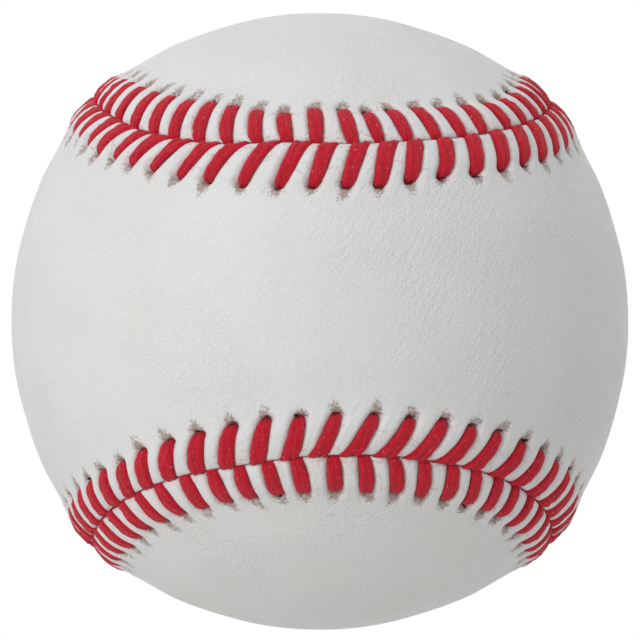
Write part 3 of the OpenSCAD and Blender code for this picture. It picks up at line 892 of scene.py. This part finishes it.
def strand_tree():
    """The Geometry Nodes tree that turns middle lines into strands of round or flattened section."""
    tree = bpy.data.node_groups.new("lay_strands", "GeometryNodeTree")
    add = functools.partial(add_node, tree)
    tree.interface.new_socket("Geometry", in_out="OUTPUT", socket_type="NodeSocketGeometry")
    for name, kind, default in (
        ("Middle lines", "NodeSocketGeometry", None),
        ("Strand diameter", "NodeSocketFloat", 1 * MM),
        ("Flatness", "NodeSocketFloat", 1.0),
        ("Roughness", "NodeSocketFloat", 0.0),
        ("Sides", "NodeSocketInt", 8),
        ("Seed", "NodeSocketInt", 0),
        ("Thread", "NodeSocketMaterial", None),
    ):
        socket = tree.interface.new_socket(name, in_out="INPUT", socket_type=kind)
        if default is not None:
            socket.default_value = default
    given = add("NodeGroupInput").outputs
    lines = add("GeometryNodeMeshToCurve", {"Mesh": given["Middle lines"]})
    strand, full, level = (
        add("GeometryNodeInputNamedAttribute", {"Name": name}, data_type=kind)
        for name, kind in (("strand", "INT"), ("fullness", "FLOAT"), ("level", "FLOAT"))
    )
    # How far along its strand each point lies, with a random start for each strand.
    way = add("GeometryNodeSplineParameter")
    start = add("FunctionNodeRandomValue", (0, 1, strand, given["Seed"]))
    along = add("Math ADD", (start, way.outputs["Length"]))
    store = "GeometryNodeStoreNamedAttribute"
    marked = add(store, {"Geometry": lines, "Name": "along", "Value": along})
    here = add("GeometryNodeInputPosition")
    height = add("VectorMath LENGTH", (here,))
    laid = add(store, {"Geometry": marked, "Name": "level", "Value": height})
    ring = add("GeometryNodeCurvePrimitiveCircle", {"Resolution": given["Sides"]})
    around = add(store, {"Value": here, "Geometry": ring, "Name": "around"}, data_type="FLOAT_VECTOR")
    half = add("Math MULTIPLY", (given["Strand diameter"], 0.5))
    scale = add("Math MULTIPLY", (half, full))
    swept = add("GeometryNodeCurveToMesh", (laid, around, scale, True))
    # The strands are pressed flat against the leather.
    above = add("Math SUBTRACT", (height, level))
    press = add("Math SUBTRACT", (given["Flatness"], 1.0))
    pressed = add("Math MULTIPLY", (above, press))
    up = add("VectorMath NORMALIZE", (here,))
    move = add("VectorMath SCALE", (up, pressed))
    flat = add("GeometryNodeSetPosition", {"Geometry": swept, "Offset": move})
    # The fibres push the surface in and out, in patches of about half a millimetre.
    patches = add("TexNoise", {"Scale": 1 / (0.6 * MM), "Detail": 1.0}).outputs["Color"]
    centred = add("VectorMath SUBTRACT", (patches, (0.5, 0.5, 0.5)))
    shift = add("VectorMath SCALE", (centred, given["Roughness"]))
    fibrous = add("GeometryNodeSetPosition", {"Geometry": flat, "Offset": shift})
    smooth = add("GeometryNodeSetShadeSmooth", {"Geometry": fibrous, "Shade Smooth": True})
    real = add("GeometryNodeRealizeInstances", {"Geometry": smooth})
    painted = add("GeometryNodeSetMaterial", {"Geometry": real, "Material": given["Thread"]})
    add("NodeGroupOutput", (painted,))
    return tree


def lay_strands(name, lines, settings):
    """Turns middle lines, each (points, fullness), into strands by the node tree, as a plain mesh."""
    points, fullness = (np.concatenate(parts) for parts in zip(*lines))
    strand = np.repeat(np.arange(len(lines)), [len(line[0]) for line in lines])
    edges = [(i, i + 1) for i in np.flatnonzero(strand[1:] == strand[:-1]).tolist()]
    mesh = bpy.data.meshes.new(name)
    mesh.from_pydata(points.tolist(), edges, [])
    for key, kind, values in (
        ("strand", "INT", strand.astype(np.int32)),
        ("fullness", "FLOAT", fullness.astype(np.float32)),
    ):
        mesh.attributes.new(key, kind, "POINT").data.foreach_set("value", values)
    piece = bpy.data.objects.new(name, mesh)
    bpy.context.scene.collection.objects.link(piece)
    tree = bpy.data.node_groups.get("lay_strands") or strand_tree()
    modifier = piece.modifiers.new("Strands", "NODES")
    modifier.node_group = tree
    for item in tree.interface.items_tree:
        if item.item_type == "SOCKET" and item.in_out == "INPUT" and item.name in settings:
            modifier[item.identifier] = settings[item.name]
    graph = bpy.context.evaluated_depsgraph_get()
    made = bpy.data.meshes.new_from_object(
        piece.evaluated_get(graph), preserve_all_data_layers=True, depsgraph=graph
    )
    piece.modifiers.clear()
    piece.data = made
    made.name = name
    bpy.data.meshes.remove(mesh)
    return piece


def sewn_side(scene, side):
    """The seam line and the sewing of one side, from the scene's settings."""
    seam = SeamLine(scene.baseball_seam, scene.baseball_leather.radius)
    return seam, Sewing(side, seam, scene.baseball_leather, scene.baseball_thread)


class BASEBALL_OT_cover_panels(bpy.types.Operator):
    """Build the leather cover panels, with their puffs between the stitches and their needle holes"""

    bl_idname = "baseball.cover_panels"
    bl_label = "Leather cover panels"

    def execute(self, context):
        leather = context.scene.baseball_leather
        material = tanned_hide(leather)
        for name, side in SIDES.items():
            mesh = cover_panel(f"leather_panel_{name}", side, *sewn_side(context.scene, side), leather)
            mesh.materials.append(material)
            piece = bpy.data.objects.new(f"leather_panel_{name}", mesh)
            context.scene.collection.objects.link(piece)
            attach(piece, "root")
            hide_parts(f"cover_panel_{name}")
        return {"FINISHED"}


class BASEBALL_OT_stitches(bpy.types.Operator):
    """Build the red stitches on both panels, two strands to a stitch"""

    bl_idname = "baseball.stitches"
    bl_label = "Red stitches"

    def execute(self, context):
        thread = context.scene.baseball_thread
        settings = {
            "Strand diameter": thread.strand, "Flatness": thread.flatness, "Roughness": thread.roughness,
            "Sides": thread.sides, "Seed": thread.seed, "Thread": waxed_thread(thread),
        }
        for name, side in SIDES.items():
            seam, sewing = sewn_side(context.scene, side)
            lines = [line for k in range(seam.count) for line in sewing.strand_lines(k)]
            piece = lay_strands(f"thread_stitches_{name}", lines, settings)
            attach(piece, "root")
            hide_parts(f"stitches_{name}")
        return {"FINISHED"}


def torn_fibres(sewing, rng):
    """Fibres of torn leather: stitch, place beside and beyond its hole, direction and length in mm."""
    return [
        (
            k, rng.normal(0, 0.35), 0.1 + rng.uniform(0, 0.5),
            math.pi / 2 + rng.normal(0, 0.6) - 0.25 * sewing.lean[k], rng.uniform(0.3, 0.8),
        )
        for k in range(sewing.seam.count)
        for _ in range(rng.integers(2, 6))
    ]


def stray_fibres(sewing, rng):
    """Loose fibres beside each stitch, and fluff that the thread leaves in the groove, given likewise."""
    fibres = []
    for k in range(sewing.seam.count):
        for _ in range(rng.integers(3, 7)):
            edge = 1 if rng.random() < 0.5 else -1
            aside, beyond = edge * rng.uniform(0.6, 1.0), -rng.uniform(0.2, 4.6)
            turn = math.pi / 2 * (1 - edge) + rng.normal(0, 0.8)
            fibres.append((k, aside, beyond, turn, rng.uniform(0.4, 1.5)))
        for _ in range(rng.integers(2, 5)):
            aside, beyond = rng.uniform(0.9, 2.9), -rng.uniform(4.0, 5.0)
            fibres.append((k, aside, beyond, rng.normal(0, 0.5), rng.uniform(0.4, 1.2)))
    return fibres


def fibre_lines(sewing, rng, fibres):
    """The middle lines of fibres that lie on the leather, curl and taper, each (points, fullness)."""
    corners = 5
    t = np.linspace(0, 1, corners)
    k, aside, beyond, turn, long = np.array(fibres).T
    k = k.astype(int)
    count = len(k)
    v0 = np.maximum(sewing.reach[k] + beyond * MM, 0.15 * MM)
    share = np.clip(1 - v0 / sewing.reach[k], 0, 1)
    u0 = sewing.hole[k] + (sewing.end[k] - sewing.hole[k]) * share + aside * MM
    bend = turn[:, None] + rng.normal(0, 0.7, (count, 1)) * t
    u = (u0[:, None] + np.cos(bend) * long[:, None] * MM * t).ravel()
    v = np.maximum(v0[:, None] + np.sin(bend) * long[:, None] * MM * t, 0.12 * MM).ravel()
    lift = rng.uniform(0, 0.25, (count, 1)) * np.sin(t * math.pi * rng.uniform(0.5, 1, (count, 1))) + 0.02
    ground = sewing.surface(u, v)[0] + lift.ravel() * MM
    points = sewing.seam.place(sewing.side, u, v) * (sewing.seam.radius + ground)[:, None]
    taper = np.linspace(1.0, 0.4, corners)
    return [(line, taper * rng.uniform(0.6, 1.2)) for line in points.reshape(count, corners, 3)]


class BASEBALL_OT_frayed_holes(bpy.types.Operator):
    """Build the torn leather fibres at the needle holes and the loose fibres of the thread"""

    bl_idname = "baseball.frayed_holes"
    bl_label = "Frayed holes and loose fibres"

    def execute(self, context):
        leather_fibre = loose_fibre("torn_leather_fibre", "#E6E0D8", "#A5988B")
        thread_fibre = loose_fibre("loose_thread_fibre", "#D8415C", "#E9A3AC")
        for name, side in SIDES.items():
            _, sewing = sewn_side(context.scene, side)
            rng = np.random.default_rng(sewing.thread.seed + 40 + side)
            torn, strayed = torn_fibres(sewing, rng), stray_fibres(sewing, rng)
            for piece_name, fibres, width, material, slot in (
                (f"frayed_leather_{name}", torn, 0.06, leather_fibre, "white_leather"),
                (f"loose_thread_fibres_{name}", strayed, 0.04, thread_fibre, "red_thread"),
            ):
                settings = {
                    "Strand diameter": width * MM, "Flatness": 1.0, "Sides": 3, "Seed": 1, "Thread": material,
                }
                piece = lay_strands(piece_name, fibre_lines(sewing, rng, fibres), settings)
                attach(piece, "root")
        return {"FINISHED"}


class BASEBALL_OT_inner_finishes(bpy.types.Operator):
    """Give the core, the windings and the thread below the cover their finishes"""

    bl_idname = "baseball.inner_finishes"
    bl_label = "Core and windings"

    def execute(self, context):
        core = context.scene.baseball_core
        red = context.scene.baseball_thread.red
        black_rubber = moulded_rubber("moulded_black_rubber", core.black_rubber)
        red_rubber = moulded_rubber("moulded_red_rubber", core.red_rubber)
        grey_wool = wound_yarn("wound_grey_wool", core.grey_wool, 1.3 * MM, 0.4)
        pressed_thread = wound_yarn("flattened_waxed_thread", red, 0.45 * MM, 0.2)
        for name, material in {
            "cork_core": ground_cork(core),
            "black_half_shell_upper": black_rubber,
            "black_half_shell_lower": black_rubber,
            "washer_upper": red_rubber,
            "washer_lower": red_rubber,
            "red_rubber_layer": red_rubber,
            "grey_wool_winding_inner": grey_wool,
            "white_wool_winding": wound_yarn("wound_white_wool", core.white_wool, 1.1 * MM, 0.4),
            "grey_wool_winding_outer": grey_wool,
            "finishing_winding": wound_yarn("wound_cotton_yarn", core.cotton, 0.5 * MM, 0.2),
            "thread_runs_front": pressed_thread,
            "thread_runs_rear": pressed_thread,
        }.items():
            node = frame["nodes"][name]
            if not node.material_slots:
                node.data.materials.append(material)
            for slot in node.material_slots:
                slot.material = material
        return {"FINISHED"}


def seen_itself(add):
    """The node that tells, as 0 or 1, whether a ray comes from the camera, a reflection or through glass."""
    rays = add("LightPath").outputs
    seen = add("Math MAXIMUM", (rays["Is Camera Ray"], rays["Is Glossy Ray"]))
    return add("Math MAXIMUM", (seen, rays["Is Transmission Ray"]))


class BASEBALL_OT_stage(bpy.types.Operator):
    """Set up the pale floor, the soft light and the camera"""

    bl_idname = "baseball.stage"
    bl_label = "Floor, light and camera"

    def execute(self, context):
        scene = context.scene
        white = (1, 1, 1, 1)

        def put(name, data, place=None):
            made = bpy.data.objects.new(name, data)
            scene.collection.objects.link(made)
            if place:
                made.matrix_world = place
            return made

        # The photograph sees the ball turned by these angles about X, Z and Y, one after the other.
        turned = Matrix.Identity(3)
        for degrees, axis in ((-4.08, "X"), (4.03, "Z"), (-0.35, "Y")):
            turned = turned @ Matrix.Rotation(math.radians(degrees), 3, axis)
        back = turned.transposed()
        spot = back @ Vector((0, -CAMERA_FAR * scene.baseball_leather.radius, 0))
        upright = Matrix.Rotation(math.radians(90), 3, "X")
        camera = bpy.data.cameras.new("camera")
        scene.camera = put("camera", camera, Matrix.Translation(spot) @ (back @ upright).to_4x4())
        camera.sensor_width = SENSOR
        camera.lens = OUTLINE_RADIUS * math.sqrt(CAMERA_FAR**2 - 1) / PICTURE * SENSOR
        camera.shift_x = (PICTURE / 2 - OUTLINE_CENTRE[0]) / PICTURE
        camera.shift_y = (OUTLINE_CENTRE[1] - PICTURE / 2) / PICTURE
        camera.clip_start = 0.01

        # The photograph looks slightly upwards at a ball held clear of the floor, which it doesn't show.
        angles = [2 * math.pi * i / FLOOR_CORNERS for i in range(FLOOR_CORNERS)]
        rim = [(FLOOR_RADIUS * math.cos(a), FLOOR_RADIUS * math.sin(a), FLOOR_LOW) for a in angles]
        floor_mesh = bpy.data.meshes.new("floor")
        floor_mesh.from_pydata(rim, [], [tuple(range(FLOOR_CORNERS))])
        floor = put("floor", floor_mesh)
        # Matt paper, mostly plain white where it is seen itself.
        paper, add = new_material("matt_white_paper")
        matt = add("BsdfPrincipled", {"Roughness": 0.9, "Base Color": linear("#E9E8E5")})
        share = add("Math MULTIPLY", (seen_itself(add), 0.75))
        plain = add("Emission", {"Color": white})
        add("OutputMaterial", {"Surface": add("MixShader", (share, matt, plain))})
        floor_mesh.materials.append(paper)
        floor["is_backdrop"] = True

        world = bpy.data.worlds.new("studio")
        scene.world = world
        world.use_nodes = True
        world.node_tree.nodes.clear()
        add = functools.partial(add_node, world.node_tree)
        strength = add("MapRange", {"Value": seen_itself(add), "To Min": 0.54})
        sky = add("Background", {"Color": white, "Strength": strength})
        add("OutputWorld", {"Surface": sky})

        # A large soft box at the upper left of the camera, and a weak one above.
        for name, place, size, watts in (
            ("soft_box_left", (-0.85, -1.0, 0.35), 0.8, 6.65),
            ("soft_box_top", (0.1, -0.1, 1.3), 0.9, 2.0),
        ):
            light = bpy.data.lights.new(name, "AREA")
            light.shape = "DISK"
            light.size = size
            light.energy = watts
            spot = back @ Vector(place)
            put(name, light, Matrix.Translation(spot) @ spot.to_track_quat("Z", "Y").to_matrix().to_4x4())
        scene.view_settings.view_transform = "Standard"
        return {"FINISHED"}


class BASEBALL_PT_sidebar(bpy.types.Panel):
    """Lists the pieces of the baseball and their settings"""

    bl_idname = "BASEBALL_PT_sidebar"
    bl_label = "Baseball"
    bl_space_type = "VIEW_3D"
    bl_region_type = "UI"
    bl_category = "Baseball"

    def draw(self, context):
        for operator in OPERATORS:
            self.layout.operator(operator.bl_idname)
        for holder, group in GROUPS.items():
            box = self.layout.box()
            for name in group.__annotations__:
                box.prop(getattr(context.scene, holder), name)


GROUPS = {
    "baseball_leather": BaseballLeather,
    "baseball_seam": BaseballSeam,
    "baseball_thread": BaseballThread,
    "baseball_core": BaseballCore,
}
OPERATORS = (
    BASEBALL_OT_cover_panels,
    BASEBALL_OT_stitches,
    BASEBALL_OT_frayed_holes,
    BASEBALL_OT_inner_finishes,
    BASEBALL_OT_stage,
)
CLASSES = (*GROUPS.values(), *OPERATORS, BASEBALL_PT_sidebar)


def register():
    for each in CLASSES:
        bpy.utils.register_class(each)
    for holder, group in GROUPS.items():
        setattr(bpy.types.Scene, holder, bpy.props.PointerProperty(type=group))


def unregister():
    for holder in GROUPS:
        delattr(bpy.types.Scene, holder)
    for each in reversed(CLASSES):
        bpy.utils.unregister_class(each)


def main():
    """Builds the ball piece by piece."""
    register()
    bpy.ops.baseball.cover_panels()
    bpy.ops.baseball.stitches()
    bpy.ops.baseball.frayed_holes()
    bpy.ops.baseball.inner_finishes()
    bpy.ops.baseball.stage()
    boxes = {"cad": CAD_BOX, "visual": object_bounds()}
    sizes = {name: [[float(x) for x in corner] for corner in box] for name, box in boxes.items()}


if __name__ == "__main__":
    main()
